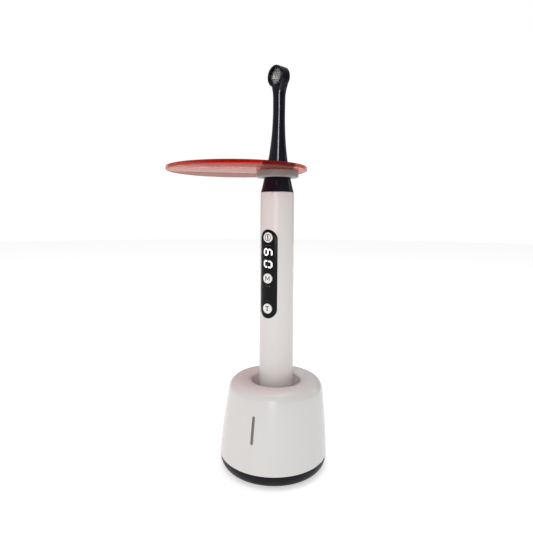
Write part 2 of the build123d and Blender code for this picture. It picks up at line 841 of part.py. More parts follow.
with BuildPart() as window_panel:
    add(barrel_form())
    with BuildSketch(facing(handle_turn)):
        with Locations((0, window_centre_z)):
            SlotOverall(window_length - window_gap * 2, window_width - window_gap * 2, rotation=90)
    extrude(amount=barrel_low_radius * 2, mode=Mode.INTERSECT)
    with BuildSketch(level(barrel_bottom_z)):
        Circle(barrel_bore)
    extrude(amount=barrel_top_z, mode=Mode.SUBTRACT)
    with BuildSketch(facing(handle_turn)):
        with Locations(*[(0, height) for height in button_heights.values()]):
            Circle(button_radius + button_gap)
    extrude(amount=barrel_low_radius * 2, mode=Mode.SUBTRACT)
    with BuildSketch(facing(handle_turn)):
        for stroke in digit_strokes:
            Polygon(*stroke, align=None)
    extrude(amount=barrel_low_radius * 2, mode=Mode.SUBTRACT)
save(window_panel.part, "window_panel")

with BuildPart() as digit_segments:
    with BuildSketch(facing(handle_turn)):
        for stroke in digit_strokes:
            Polygon(*stroke, align=None)
    extrude(amount=barrel_low_radius * 2)
    add(barrel_form(), mode=Mode.INTERSECT)
    with BuildSketch(level(barrel_bottom_z)):
        Circle(barrel_bore)
    extrude(amount=barrel_top_z, mode=Mode.SUBTRACT)
save(digit_segments.part, "digit_segments")

flange_bottom = button_flange_face - button_flange_thickness
for button_name, button_z in button_heights.items():
    button_top = barrel_radius_at(button_z) + button_proud
    with BuildPart() as button:
        with BuildSketch(facing(handle_turn, flange_bottom)):
            with Locations((0, button_z)):
                Circle(button_radius + button_flange)
        extrude(amount=button_flange_thickness)
        with BuildSketch(facing(handle_turn, button_flange_face)):
            with Locations((0, button_z)):
                Circle(button_radius)
        extrude(amount=button_top - button_flange_face)
        outward = facing(handle_turn).z_dir
        top_edges = button.edges().filter_by(GeomType.CIRCLE).sort_by(Axis((0, 0, 0), outward))
        fillet(top_edges[-1], button_edge)
    save(button.part, f"{button_name}_button")

display_z = (button_heights["power"] + button_heights["mode"]) / 2
with BuildPart() as display_module:
    with BuildSketch(facing(handle_turn, board_face)):
        with Locations((0, display_z)):
            Rectangle(display_width, display_length)
    extrude(amount=display_face - board_face)
save(display_module.part, "display_module")

with BuildPart() as switches:
    with BuildSketch(facing(handle_turn, board_face)):
        with Locations(*[(0, height) for height in button_heights.values()]):
            Rectangle(switch_width, switch_width)
    extrude(amount=switch_height)
    with BuildSketch(facing(handle_turn, board_face + switch_height)):
        with Locations(*[(0, height) for height in button_heights.values()]):
            Circle(switch_plunger_radius)
    extrude(amount=flange_bottom - button_travel - seat_gap - board_face - switch_height)
save(switches.part, "switches")

board_screw_heights = (board_bottom_z + handle_screw_inset, board_top_z - handle_screw_inset)
with BuildPart() as main_board:
    with BuildSketch(facing(handle_turn, board_back)):
        with Locations((0, (board_bottom_z + board_top_z) / 2)):
            Rectangle(board_width, board_top_z - board_bottom_z)
        with Locations(*[(0, height) for height in board_screw_heights]):
            Circle(handle_screw_radius + seat_gap, mode=Mode.SUBTRACT)
    extrude(amount=board_thickness)
save(main_board.part, "main_board")

with BuildPart() as controller_chip:
    with BuildSketch(facing(handle_turn, board_back)):
        with Locations((0, window_centre_z + chip_rise)):
            Rectangle(chip_size, chip_size)
    extrude(amount=-chip_thickness)
save(controller_chip.part, "controller_chip")

with BuildPart() as inductor:
    with BuildSketch(facing(handle_turn, board_back)):
        with Locations((0, window_centre_z + inductor_rise)):
            Circle(inductor_radius)
    extrude(amount=-inductor_height)
save(inductor.part, "inductor")

with BuildPart() as capacitors:
    with BuildSketch(facing(handle_turn, board_back)):
        with Locations((0, window_centre_z + capacitor_rise)):
            with GridLocations(capacitor_spacing, 1, 2, 1):
                Circle(capacitor_radius)
    extrude(amount=-capacitor_height)
save(capacitors.part, "capacitors")

buzzer_z = window_centre_z + buzzer_rise
with BuildPart() as buzzer:
    with BuildSketch(facing(handle_turn, board_back)):
        with Locations((0, buzzer_z)):
            Circle(buzzer_radius)
    extrude(amount=-buzzer_height)
    with BuildSketch(facing(handle_turn, board_back - buzzer_height)):
        with Locations((0, buzzer_z)):
            Circle(buzzer_bore)
    extrude(amount=buzzer_height / 2, mode=Mode.SUBTRACT)
save(buzzer.part, "buzzer")

with BuildPart() as carrier:
    # Half shell behind the board, between two end plates
    with BuildSketch(level(carrier_bottom_z)):
        Circle(barrel_bore - running_gap)
        Circle(barrel_bore - running_gap - carrier_wall, mode=Mode.SUBTRACT)
    extrude(amount=carrier_top_z - carrier_bottom_z)
    with BuildSketch(facing(handle_turn, board_back)):
        with Locations((0, carrier_top_z / 2)):
            Rectangle(barrel_low_radius * 2, carrier_top_z)
    extrude(amount=barrel_low_radius, mode=Mode.SUBTRACT)
    # Rails that carry the board's two long edges
    with BuildSketch(facing(handle_turn, board_back)):
        for side in (-1, 1):
            with Locations((side * board_width / 2, (carrier_bottom_z + carrier_top_z) / 2)):
                Rectangle(carrier_rail, carrier_top_z - carrier_bottom_z)
    extrude(amount=-carrier_rail_depth)
    with BuildSketch(facing(handle_turn, board_back)):
        with Locations(*[(0, height) for height in board_screw_heights]):
            Circle(post_radius)
    extrude(amount=-(board_back + barrel_bore - carrier_wall))
    for end_z in (carrier_bottom_z, carrier_top_z - carrier_end):
        with BuildSketch(level(end_z)):
            Circle(barrel_bore - running_gap)
        extrude(amount=carrier_end)
    with BuildSketch(facing(handle_turn, board_back)):
        with Locations(*[(0, height) for height in board_screw_heights]):
            Circle(handle_screw_radius)
    extrude(amount=-board_screw_length, mode=Mode.SUBTRACT)
    # Seat of the battery's contact
    with BuildSketch(level(carrier_bottom_z)):
        Circle(battery_contact_radius)
    extrude(amount=battery_contact_thickness, mode=Mode.SUBTRACT)
save(carrier.part, "carrier")

with BuildPart() as handle_screws:
    with BuildSketch(facing(handle_turn, board_face)):
        with Locations(*[(0, height) for height in board_screw_heights]):
            Circle(handle_screw_head_radius)
    extrude(amount=handle_screw_head_height)
    with BuildSketch(facing(handle_turn, board_face)):
        with Locations(*[(0, height) for height in board_screw_heights]):
            Circle(handle_screw_radius)
    extrude(amount=-(board_thickness + board_screw_length - seat_gap))
save(handle_screws.part, "handle_screws")

with BuildPart() as battery:
    with BuildSketch(level(battery_bottom_z)):
        Circle(battery_radius)
    extrude(amount=battery_top_z - battery_bottom_z)
    fillet(battery.edges(), battery_edge)
    with BuildSketch(level(battery_top_z)):
        Circle(battery_nub_radius)
    extrude(amount=battery_nub_height)
save(battery.part, "battery")

with BuildPart() as battery_contact:
    with BuildSketch(level(carrier_bottom_z)):
        Circle(battery_contact_radius - seat_gap)
    extrude(amount=battery_contact_thickness)
    # Spring finger that presses on the battery's nub
    with BuildSketch(level(battery_top_z + battery_nub_height)):
        Circle(battery_nub_radius / 2)
    extrude(amount=carrier_end_gap)
save(battery_contact.part, "battery_contact")

plug_tip_z = carrier_top_z + plug_tip_rise
socket_top_z = carrier_top_z + socket_height
holder_z = socket_top_z + plug_holder_gap
plug_holder_top_z = holder_z + plug_holder_height
with BuildPart() as coaxial_socket:
    with BuildSketch(level(carrier_top_z)):
        Circle(socket_radius)
    extrude(amount=socket_height)
    with BuildSketch(level(plug_tip_z - loose_gap)):
        Circle(plug_radius + running_gap)
    extrude(amount=socket_height, mode=Mode.SUBTRACT)
save(coaxial_socket.part, "coaxial_socket")

# ------------------------------------------------------------------ head
with BuildPart() as coaxial_plug:
    with BuildSketch(level(plug_tip_z)):
        Circle(plug_radius)
    extrude(amount=holder_z - plug_tip_z + plug_holder_height / 2)
    fillet(coaxial_plug.edges().group_by(Axis.Z)[0], plug_radius / 2)
save(coaxial_plug.part, "coaxial_plug")

with BuildPart() as plug_holder:
    with BuildSketch(level(holder_z)):
        Circle(spigot_bore - seat_gap)
    extrude(amount=plug_holder_height)
    with BuildSketch(level(holder_z)):
        Circle(plug_radius)
    extrude(amount=plug_holder_height / 2, mode=Mode.SUBTRACT)
save(plug_holder.part, "plug_holder")

lens_way = facing(head_turn).z_dir
seal_z = spigot_bottom_z + head_seal_rise
cavity_back = head_back - head_back_wall
head_bore_centre = lens_way * -wire_bore_back

with BuildPart() as head_drum:
    with BuildSketch(facing(head_turn, -head_back)):
        with Locations((0, head_z)):
            Circle(head_radius)
    extrude(amount=head_back + head_front)
    rims = head_drum.edges().filter_by(GeomType.CIRCLE).sort_by(Axis((0, 0, 0), lens_way))
    chamfer(rims[0], head_back_chamfer)
    rims = head_drum.edges().filter_by(GeomType.CIRCLE).sort_by(Axis((0, 0, 0), lens_way))
    fillet(rims[-1], head_front_edge)

with BuildPart() as head_shell:
    for height, across, deep, lean in neck_sections:
        with BuildSketch(level(height)):
            with Locations((-lean * lens_way.X, -lean * lens_way.Y)):
                Ellipse(across, deep, rotation=head_turn)
    loft()
    add(head_drum.part)
    with BuildSketch(level(spigot_bottom_z)):
        Circle(spigot_radius)
    extrude(amount=spigot_length)
    # Chamber for the plug, then the bore for the wires
    with BuildSketch(level(spigot_bottom_z)):
        Circle(spigot_bore)
    extrude(amount=plug_holder_top_z - spigot_bottom_z, mode=Mode.SUBTRACT)
    with BuildSketch(level(plug_holder_top_z)):
        Circle(spigot_bore)
    extrude(amount=plug_chamber_height, taper=plug_chamber_taper, mode=Mode.SUBTRACT)
    with BuildSketch(level(plug_holder_top_z)):
        with Locations((head_bore_centre.X, head_bore_centre.Y)):
            Circle(wire_bore_radius)
    extrude(amount=head_z - plug_holder_top_z, mode=Mode.SUBTRACT)
    with BuildSketch(facing(head_turn, -cavity_back)):
        with Locations((0, head_z)):
            Circle(head_pocket_radius)
    extrude(amount=head_back + head_front, mode=Mode.SUBTRACT)
    # Grooves for the snap ring and the seal ring
    with BuildSketch(level(ring_mid_z - snap_ring_thickness / 2 - snap_ring_gap)):
        Circle(spigot_radius)
        Circle(spigot_radius - snap_ring_depth, mode=Mode.SUBTRACT)
    extrude(amount=snap_ring_thickness + snap_ring_gap * 2, mode=Mode.SUBTRACT)
    with BuildSketch(level(seal_z - seal_groove_width / 2)):
        Circle(spigot_radius)
        Circle(seal_groove_floor, mode=Mode.SUBTRACT)
    extrude(amount=seal_groove_width, mode=Mode.SUBTRACT)
save(head_shell.part, "head_shell")
save(seal_ring(seal_z, seal_groove_floor), "head_seal")

with BuildPart() as snap_ring:
    with BuildSketch(level(ring_mid_z - snap_ring_thickness / 2)):
        Circle(snap_ring_outer)
        Circle(spigot_radius - snap_ring_depth + seat_gap, mode=Mode.SUBTRACT)
        with Locations((0, snap_ring_outer)):
            Rectangle(snap_ring_opening, snap_ring_outer, mode=Mode.SUBTRACT)
    extrude(amount=snap_ring_thickness)
save(snap_ring.part, "snap_ring")

slug_front = heat_slug_thickness - cavity_back
board_front = slug_front + led_board_thickness
reflector_front = board_front + reflector_height
lens_seat = reflector_front + lens_flange
with BuildPart() as heat_slug:
    with BuildSketch(facing(head_turn, -cavity_back)):
        with Locations((0, head_z)):
            Circle(head_pocket_radius - seat_gap)
    extrude(amount=heat_slug_thickness)
save(heat_slug.part, "heat_slug")

with BuildPart() as led_board:
    with BuildSketch(facing(head_turn, slug_front)):
        with Locations((0, head_z)):
            Circle(head_pocket_radius - led_board_margin)
    extrude(amount=led_board_thickness)
save(led_board.part, "led_board")

with BuildPart() as led_emitter:
    with BuildSketch(facing(head_turn, board_front)):
        with Locations((0, head_z)):
            Rectangle(led_size, led_size)
    extrude(amount=led_thickness)
    with BuildSketch(facing(head_turn, board_front + led_thickness)):
        with Locations((0, head_z)):
            Circle(led_dome_radius)
    extrude(amount=led_thickness, taper=led_dome_taper)
save(led_emitter.part, "led_emitter")

led_board_drop = sqrt((head_pocket_radius - led_board_margin) ** 2 - (wire_spacing / 2) ** 2)
with BuildPart() as led_leads:
    with BuildSketch(level(plug_holder_top_z)):
        for side in (-1, 1):
            wire_at = facing(head_turn).x_dir * (side * wire_spacing / 2) - lens_way * wire_back
            with Locations((wire_at.X, wire_at.Y)):
                Circle(wire_radius)
    extrude(amount=head_z - led_board_drop - plug_holder_top_z - wire_radius / 2)
save(led_leads.part, "led_leads")

with BuildPart() as reflector:
    with BuildSketch(facing(head_turn, board_front)):
        with Locations((0, head_z)):
            Circle(head_pocket_radius - seat_gap)
    extrude(amount=reflector_height)
    bowl_low = facing(head_turn, board_front)
    bowl_high = facing(head_turn, reflector_front)
    with BuildSketch(bowl_low):
        with Locations((0, head_z)):
            Circle(reflector_throat_radius)
    with BuildSketch(bowl_high):
        with Locations((0, head_z)):
            Circle(head_pocket_radius - reflector_mouth_wall)
    loft(mode=Mode.SUBTRACT)
save(reflector.part, "reflector")

with BuildPart() as lens:
    with BuildSketch(facing(head_turn, reflector_front)):
        with Locations((0, head_z)):
            Circle(head_pocket_radius - seat_gap)
    extrude(amount=lens_flange)
    dome_radius = (lens_radius**2 + lens_dome**2) / (2 * lens_dome)
    lens_centre = lens_way * (lens_seat + lens_dome - dome_radius) + Vector(0, 0, head_z)
    with BuildPart(mode=Mode.PRIVATE) as dome:
        with Locations(lens_centre):
            Sphere(dome_radius)
        with BuildSketch(facing(head_turn, lens_seat)):
            with Locations((0, head_z)):
                Circle(lens_radius)
        extrude(amount=lens_dome * 2, mode=Mode.INTERSECT)
    add(dome.part)
save(lens.part, "lens")

with BuildPart() as lens_bezel:
    with BuildSketch(facing(head_turn, lens_seat)):
        with Locations((0, head_z)):
            Circle(head_pocket_radius - seat_gap)
    extrude(amount=head_front - lens_seat)
    with BuildSketch(facing(head_turn, lens_seat)):
        with Locations((0, head_z)):
            Circle(lens_radius + seat_gap)
    with BuildSketch(facing(head_turn, head_front)):
        with Locations((0, head_z)):
            Circle(lens_radius + bezel_slope)
    loft(mode=Mode.SUBTRACT)
save(lens_bezel.part, "lens_bezel")

# ------------------------------------------------------------------ light shield
shield_way = facing(shield_turn).z_dir
disc_centre = shield_way * disc_offset
disc_top_z = disc_bottom_z + disc_thickness
grommet_top_z = disc_top_z + grommet_lip_height
grommet_bottom_z = disc_bottom_z - grommet_height
head_corner = max(
    sqrt((head_radius - head_back_chamfer) ** 2 + head_back**2),
    sqrt(head_radius**2 + (head_back - head_back_chamfer) ** 2),
    sqrt(head_radius**2 + head_front**2),
)
grommet_top_bore = head_corner + slide_off_gap


def cone_radius_at(height):
    """The neck's half width at a height, between the two nearest of its outline's heights."""
    for lower, upper in zip(neck_sections, neck_sections[1:]):
        if lower[0] <= height <= upper[0]:
            share = (height - lower[0]) / (upper[0] - lower[0])
            return lower[1] + (upper[1] - lower[1]) * share
    return neck_sections[0][1]


with BuildPart() as shield_disc:
    with BuildSketch(Plane(origin=(disc_centre.X, disc_centre.Y, disc_bottom_z + seat_gap))):
        Circle(disc_radius)
    extrude(amount=disc_thickness - seat_gap * 2)
    chamfer(shield_disc.edges(), disc_edge)
    with BuildSketch(level(disc_bottom_z)):
        Circle(grommet_hub_radius + running_gap)
    extrude(amount=disc_thickness, mode=Mode.SUBTRACT)
save(shield_disc.part, "shield_disc")

with BuildPart() as shield_grommet:
    with BuildSketch(level(grommet_bottom_z)):
        Circle(grommet_radius)
    extrude(amount=grommet_height)
    fillet(shield_grommet.edges(), grommet_edge)
    with BuildSketch(level(disc_bottom_z)):
        Circle(grommet_hub_radius)
    extrude(amount=disc_thickness)
    with BuildSketch(level(disc_top_z)):
        Circle(grommet_lip_radius)
    extrude(amount=grommet_lip_height)
    fillet(shield_grommet.edges().group_by(Axis.Z)[-1], grommet_edge)
    # Bore that follows the cone below and lets the head through above
    with BuildSketch(Plane.XZ):
        bottom_bore = cone_radius_at(grommet_bottom_z) + grommet_cone_gap
        with BuildLine():
            Polyline(
                (0, grommet_bottom_z),
                (bottom_bore, grommet_bottom_z),
                (grommet_top_bore, disc_bottom_z),
                (grommet_top_bore, grommet_top_z),
                (0, grommet_top_z),
                close=True,
            )
        make_face()
    revolve(axis=Axis.Z, mode=Mode.SUBTRACT)
save(shield_grommet.part, "shield_grommet")
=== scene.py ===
import json
import math

import bmesh
import bpy
from mathutils import Matrix, Vector

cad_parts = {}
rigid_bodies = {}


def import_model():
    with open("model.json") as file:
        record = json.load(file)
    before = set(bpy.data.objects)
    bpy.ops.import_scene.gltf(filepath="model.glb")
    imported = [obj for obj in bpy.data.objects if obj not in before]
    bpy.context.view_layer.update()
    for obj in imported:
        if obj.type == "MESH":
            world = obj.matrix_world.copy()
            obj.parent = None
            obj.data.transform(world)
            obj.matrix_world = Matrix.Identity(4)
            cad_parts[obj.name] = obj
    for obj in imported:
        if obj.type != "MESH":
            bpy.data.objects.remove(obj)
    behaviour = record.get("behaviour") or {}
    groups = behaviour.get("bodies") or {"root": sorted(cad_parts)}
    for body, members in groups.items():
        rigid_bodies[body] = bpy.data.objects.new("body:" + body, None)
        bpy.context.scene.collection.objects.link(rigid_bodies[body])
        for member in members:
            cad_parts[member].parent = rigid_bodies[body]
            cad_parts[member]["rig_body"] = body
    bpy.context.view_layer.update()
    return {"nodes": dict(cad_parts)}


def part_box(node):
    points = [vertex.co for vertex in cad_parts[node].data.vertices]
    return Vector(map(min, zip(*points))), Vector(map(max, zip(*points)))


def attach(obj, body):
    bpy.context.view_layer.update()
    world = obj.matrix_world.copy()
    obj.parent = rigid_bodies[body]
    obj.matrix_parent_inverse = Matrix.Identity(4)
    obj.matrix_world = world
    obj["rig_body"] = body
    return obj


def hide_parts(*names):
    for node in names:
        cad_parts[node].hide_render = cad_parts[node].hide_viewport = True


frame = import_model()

mm = 0.001
scene = bpy.context.scene
nodes = frame["nodes"]
print("frame loaded:", len(nodes), "CAD nodes")

# how the turning pieces face at rest, in degrees about +Z from the dock's front
handleTurn = -8.5
headTurn = -22


def outward(turn):
    angle = math.radians(turn)
    return Vector((math.sin(angle), -math.cos(angle), 0))


def facing(turn, distance, height):
    # local x runs across, y up and z outwards from the pen's axis
    angle = math.radians(turn)
    sideways = Vector((math.cos(angle), math.sin(angle), 0))
    out = outward(turn)
    place = out * distance + Vector((0, 0, height))
    columns = (sideways, Vector((0, 0, 1)), out, place)
    return Matrix([[column[row] for column in columns] for row in range(3)] + [[0, 0, 0, 1]])


def reach(node, direction):
    # how near to and how far from the pen's axis a CAD node goes in a direction, in millimetres
    along = [vertex.co.dot(direction) / mm for vertex in nodes[node].data.vertices]
    return min(along), max(along)


# studio: a white sweep under an even dome, which is a little brighter on the left and above
studio = {
    "cameraTurn": 24.7, "cameraSide": -0.0066, "cameraDistance": 0.2858, "cameraHeight": 0.161,
    "pitch": 6.3, "roll": 0.26, "lens": 30.15, "floorSize": 6.0, "floorGlow": 0.50,
    "domeLight": 0.32, "domeLeft": 0.20, "domeUp": 0.34,
}
# softboxes: turn from the camera, distance, lowest and highest edge, width, power
softboxes = {
    "frontBroad": (-8, 1.3, 0.05, 0.95, 0.35, 4.0),
    "neckStrip": (0, 1.0, 0.22, 0.75, 0.2, 13.0),
    "rearRight": (112, 0.9, 0.15, 0.7, 0.10, 0.4),
}
overhead = {"height": 1.2, "size": 0.8, "power": 5.0}


def addNode(tree, kind, settings=None, inputs=None, output=0):
    # settings come first, then the values or links of the sockets
    made = tree.nodes.new(kind)
    for key, value in (settings or {}).items():
        setattr(made, key, value)
    for key, value in (inputs or {}).items():
        if isinstance(value, Wire):
            tree.links.new(value.socket, made.inputs[key])
        else:
            made.inputs[key].default_value = value
    return Wire(tree, made.outputs[output])


class Wire:
    # one output socket, which takes part in plain maths
    def __init__(self, tree, socket):
        self.tree = tree
        self.socket = socket

    def maths(self, operation, first, second):
        inputs = {0: first, 1: second}
        return addNode(self.tree, "ShaderNodeMath", {"operation": operation}, inputs)

    def __add__(self, other):
        return self.maths("ADD", self, other)

    def __radd__(self, other):
        return self.maths("ADD", other, self)

    def __sub__(self, other):
        return self.maths("SUBTRACT", self, other)

    def __rsub__(self, other):
        return self.maths("SUBTRACT", other, self)

    def __mul__(self, other):
        return self.maths("MULTIPLY", self, other)

    def __rmul__(self, other):
        return self.maths("MULTIPLY", other, self)


def placeCamera():
    angle = math.radians(studio["cameraTurn"])
    right = Vector((math.cos(angle), math.sin(angle), 0))
    away = Vector((-math.sin(angle), math.cos(angle), 0))
    data = bpy.data.cameras.new("camera")
    data.lens = studio["lens"]
    data.sensor_width = 36
    data.clip_start = 0.01
    camera = bpy.data.objects.new("camera", data)
    place = right * studio["cameraSide"] - away * studio["cameraDistance"]
    camera.location = (place.x, place.y, studio["cameraHeight"])
    pose = (
        Matrix.Rotation(angle, 3, "Z")
        @ Matrix.Rotation(math.radians(90 - studio["pitch"]), 3, "X")
        @ Matrix.Rotation(math.radians(studio["roll"]), 3, "Z")
    )
    camera.rotation_euler = pose.to_euler()
    scene.collection.objects.link(camera)
    scene.camera = camera


def placeSoftbox(name, turnFromCamera, distance, low, high, width, power):
    turn = studio["cameraTurn"] + turnFromCamera
    data = bpy.data.lights.new(name, "AREA")
    data.shape = "RECTANGLE"
    data.size = width
    data.size_y = high - low
    data.energy = power
    lamp = bpy.data.objects.new(name, data)
    place = outward(turn) * distance
    lamp.location = (place.x, place.y, (low + high) / 2)
    lamp.rotation_euler = (math.radians(90), 0, math.radians(turn))
    scene.collection.objects.link(lamp)
    return lamp


def placeOverhead():
    data = bpy.data.lights.new("overhead", "AREA")
    data.shape = "SQUARE"
    data.size = overhead["size"]
    data.energy = overhead["power"]
    lamp = bpy.data.objects.new("overhead", data)
    lamp.location = (0, 0, overhead["height"])
    scene.collection.objects.link(lamp)


def lightDome():
    world = bpy.data.worlds.new("studioAir")
    scene.world = world
    world.use_nodes = True
    tree = world.node_tree
    tree.nodes.clear()
    angle = math.radians(studio["cameraTurn"])
    ray = addNode(tree, "ShaderNodeTexCoord", output="Generated")
    parts = addNode(tree, "ShaderNodeSeparateXYZ", {}, {0: ray}).socket.node
    x, y, z = (Wire(tree, parts.outputs[axis]) for axis in "XYZ")
    left = x * -math.cos(angle) - y * math.sin(angle)
    strength = left * studio["domeLeft"] + z * studio["domeUp"] + studio["domeLight"]
    soft = addNode(tree, "ShaderNodeBackground", {}, {"Color": (1, 1, 1, 1), "Strength": strength})
    seen = addNode(tree, "ShaderNodeBackground", {}, {"Color": (1, 1, 1, 1), "Strength": 1.0})
    direct = addNode(tree, "ShaderNodeLightPath", output="Is Camera Ray")
    mixed = addNode(tree, "ShaderNodeMixShader", {}, {0: direct, 1: soft, 2: seen})
    out = tree.nodes.new("ShaderNodeOutputWorld")
    tree.links.new(mixed.socket, out.inputs["Surface"])


placeCamera()
lightDome()
placeOverhead()
lamps = {name: placeSoftbox(name, *values) for name, values in softboxes.items()}
# the strip only draws the long highlight down the polished neck
polishedPieces = bpy.data.collections.new("polishedPieces")
lamps["neckStrip"].light_linking.receiver_collection = polishedPieces
scene.view_settings.view_transform = "Standard"
scene.view_settings.look = "None"
print("studio lit")


class Finish:
    # a procedural material around one Principled shader
    def __init__(self, name, colour, roughness, **uniform):
        self.material = bpy.data.materials.new(name)
        self.material.use_nodes = True
        self.tree = self.material.node_tree
        self.shader = self.tree.nodes["Principled BSDF"]
        self.colour = colour
        self.roughness = roughness
        self.put("Base Color", (*colour, 1))
        self.put("Roughness", roughness)
        for key, value in uniform.items():
            self.put(key.replace("_", " "), value)
        self.place = self.node("ShaderNodeTexCoord", output="Object")

    def node(self, kind, settings=None, inputs=None, output=0):
        return addNode(self.tree, kind, settings, inputs, output)

    def put(self, socket, value):
        if isinstance(value, Wire):
            self.tree.links.new(value.socket, self.shader.inputs[socket])
        else:
            self.shader.inputs[socket].default_value = value

    def noise(self, scale, detail=2.0, stretch=None):
        place = self.place
        if stretch:
            place = self.node("ShaderNodeMapping", {}, {"Vector": place, "Scale": stretch})
        return self.node(
            "ShaderNodeTexNoise", {}, {"Vector": place, "Scale": scale, "Detail": detail}
        )

    def swing(self, mask, darker, lighter):
        # the base colour moves between two shades of itself
        shades = [tuple(min(1, c * f) for c in self.colour) + (1,) for f in (darker, lighter)]
        self.put(
            "Base Color",
            self.node(
                "ShaderNodeMix", {"data_type": "RGBA"}, {0: mask, 6: shades[0], 7: shades[1]}, 2
            ),
        )

    def gloss(self, mask, spread):
        self.put("Roughness", (mask - 0.5) * spread + self.roughness)

    def bump(self, height, depth, strength=1.0):
        inputs = {"Height": height, "Distance": depth * mm, "Strength": strength}
        self.put("Normal", self.node("ShaderNodeBump", {}, inputs))


def mouldedWhite(name, colour, roughness, peel):
    # glossy injection moulding: slow flow marks, a faint orange peel and handling haze
    made = Finish(name, colour, roughness, IOR=1.5)
    made.swing(made.noise(24, 3, (1, 1, 0.3)), 0.985, 1.01)
    made.gloss(made.noise(75, 4), 0.10)
    made.bump(made.noise(420, 2) + made.noise(60, 2) * 1.5, peel)
    return made.material


def satinBlack(name, colour, roughness, grain, depth):
    # fine spark-eroded texture of a black moulding, or the skin of a rubber part
    made = Finish(name, colour, roughness, IOR=1.24)
    made.swing(made.noise(70, 4), 0.75, 1.3)
    made.gloss(made.noise(50, 4), 0.12)
    made.bump(made.noise(grain, 3), depth)
    return made.material


def polishedBlack(name, colour, roughness):
    # polished black anodising with hair-fine turning lines and light finger marks
    made = Finish(name, colour, roughness, IOR=1.26)
    smudge = made.noise(130, 5, (1, 1, 0.6))
    made.swing(smudge, 0.6, 1.5)
    made.gloss(smudge, 0.05)
    made.bump(made.noise(1500, 2, (0.03, 0.03, 1)), 0.0001)
    return made.material


def glossPanel(name, colour, roughness):
    # hard-coated window sheet with a few smears
    made = Finish(name, colour, roughness, IOR=1.22)
    smear = made.noise(80, 5, (1, 1, 0.4))
    made.swing(smear, 0.8, 1.3)
    made.gloss(smear, 0.10)
    made.bump(made.noise(90, 1), 0.001)
    return made.material


def silicone(name, colour, roughness):
    # dusty moulded silicone that lets a little light in
    made = Finish(
        name, colour, roughness, Subsurface_Weight=0.10, Subsurface_Scale=0.6 * mm,
        Sheen_Weight=0.2, Sheen_Roughness=0.4,
    )
    dust = made.noise(600, 4)
    made.swing(dust, 0.9, 1.1)
    made.gloss(made.noise(140, 3), 0.14)
    made.bump(made.noise(1700, 2) + dust * 0.5, 0.006)
    return made.material


def clearGlass(name, colour, roughness):
    made = Finish(name, colour, roughness, Transmission_Weight=1.0, IOR=1.5)
    made.swing(made.noise(20, 2), 0.97, 1.0)
    made.bump(made.noise(300, 2), 0.001, 0.4)
    return made.material


def tintedAcrylic(name, colour, paintedReflection):
    # cast sheet that is deep red face on; towards a glancing look its base colour is painted pale,
    # a painted reflection of the white surroundings
    made = Finish(
        name, colour, 0.03, Transmission_Weight=0.9, IOR=1.04
    )
    # painted reflection: the facing mask blends the base colour towards the pale glancing colour
    glance = made.node("ShaderNodeLayerWeight", {}, {"Blend": 0.35}, "Facing")
    ripple = made.noise(18, 2) * 0.1
    inputs = {0: glance + ripple - 0.05, 6: (*colour, 1), 7: (*paintedReflection, 1)}
    made.put("Base Color", made.node("ShaderNodeMix", {"data_type": "RGBA"}, inputs, 2))
    made.bump(made.noise(35, 1), 0.002, 0.3)
    return made.material


def metal(name, colour, roughness, scale, stretch=None):
    # plated or machined metal with a fine directional grain
    made = Finish(name, colour, roughness, Metallic=1.0)
    grain = made.noise(scale, 4, stretch)
    made.swing(made.noise(160, 3), 0.88, 1.06)
    made.gloss(grain, 0.14)
    made.bump(grain, 0.003, 0.6)
    return made.material


def glowing(name, colour, strength, unlit=(0.9, 0.9, 0.9)):
    made = Finish(name, unlit, 0.35, Emission_Strength=strength)
    made.put("Emission Color", (*colour, 1))
    soft = made.noise(900, 2)
    made.swing(soft, 0.92, 1.02)
    made.bump(soft, 0.003, 0.4)
    return made.material


def circuitBoard(name, colour):
    # solder mask over tracks
    made = Finish(name, colour, 0.35)
    tracks = made.node(
        "ShaderNodeTexBrick",
        {},
        {
            "Vector": made.place, "Scale": 260.0, "Mortar Size": 0.03,
            "Color1": (0, 0, 0, 1), "Color2": (0.2, 0.2, 0.2, 1), "Mortar": (1, 1, 1, 1),
        },
    )
    made.swing(tracks, 1.0, 1.7)
    made.bump(tracks, 0.03, 0.5)
    return made.material


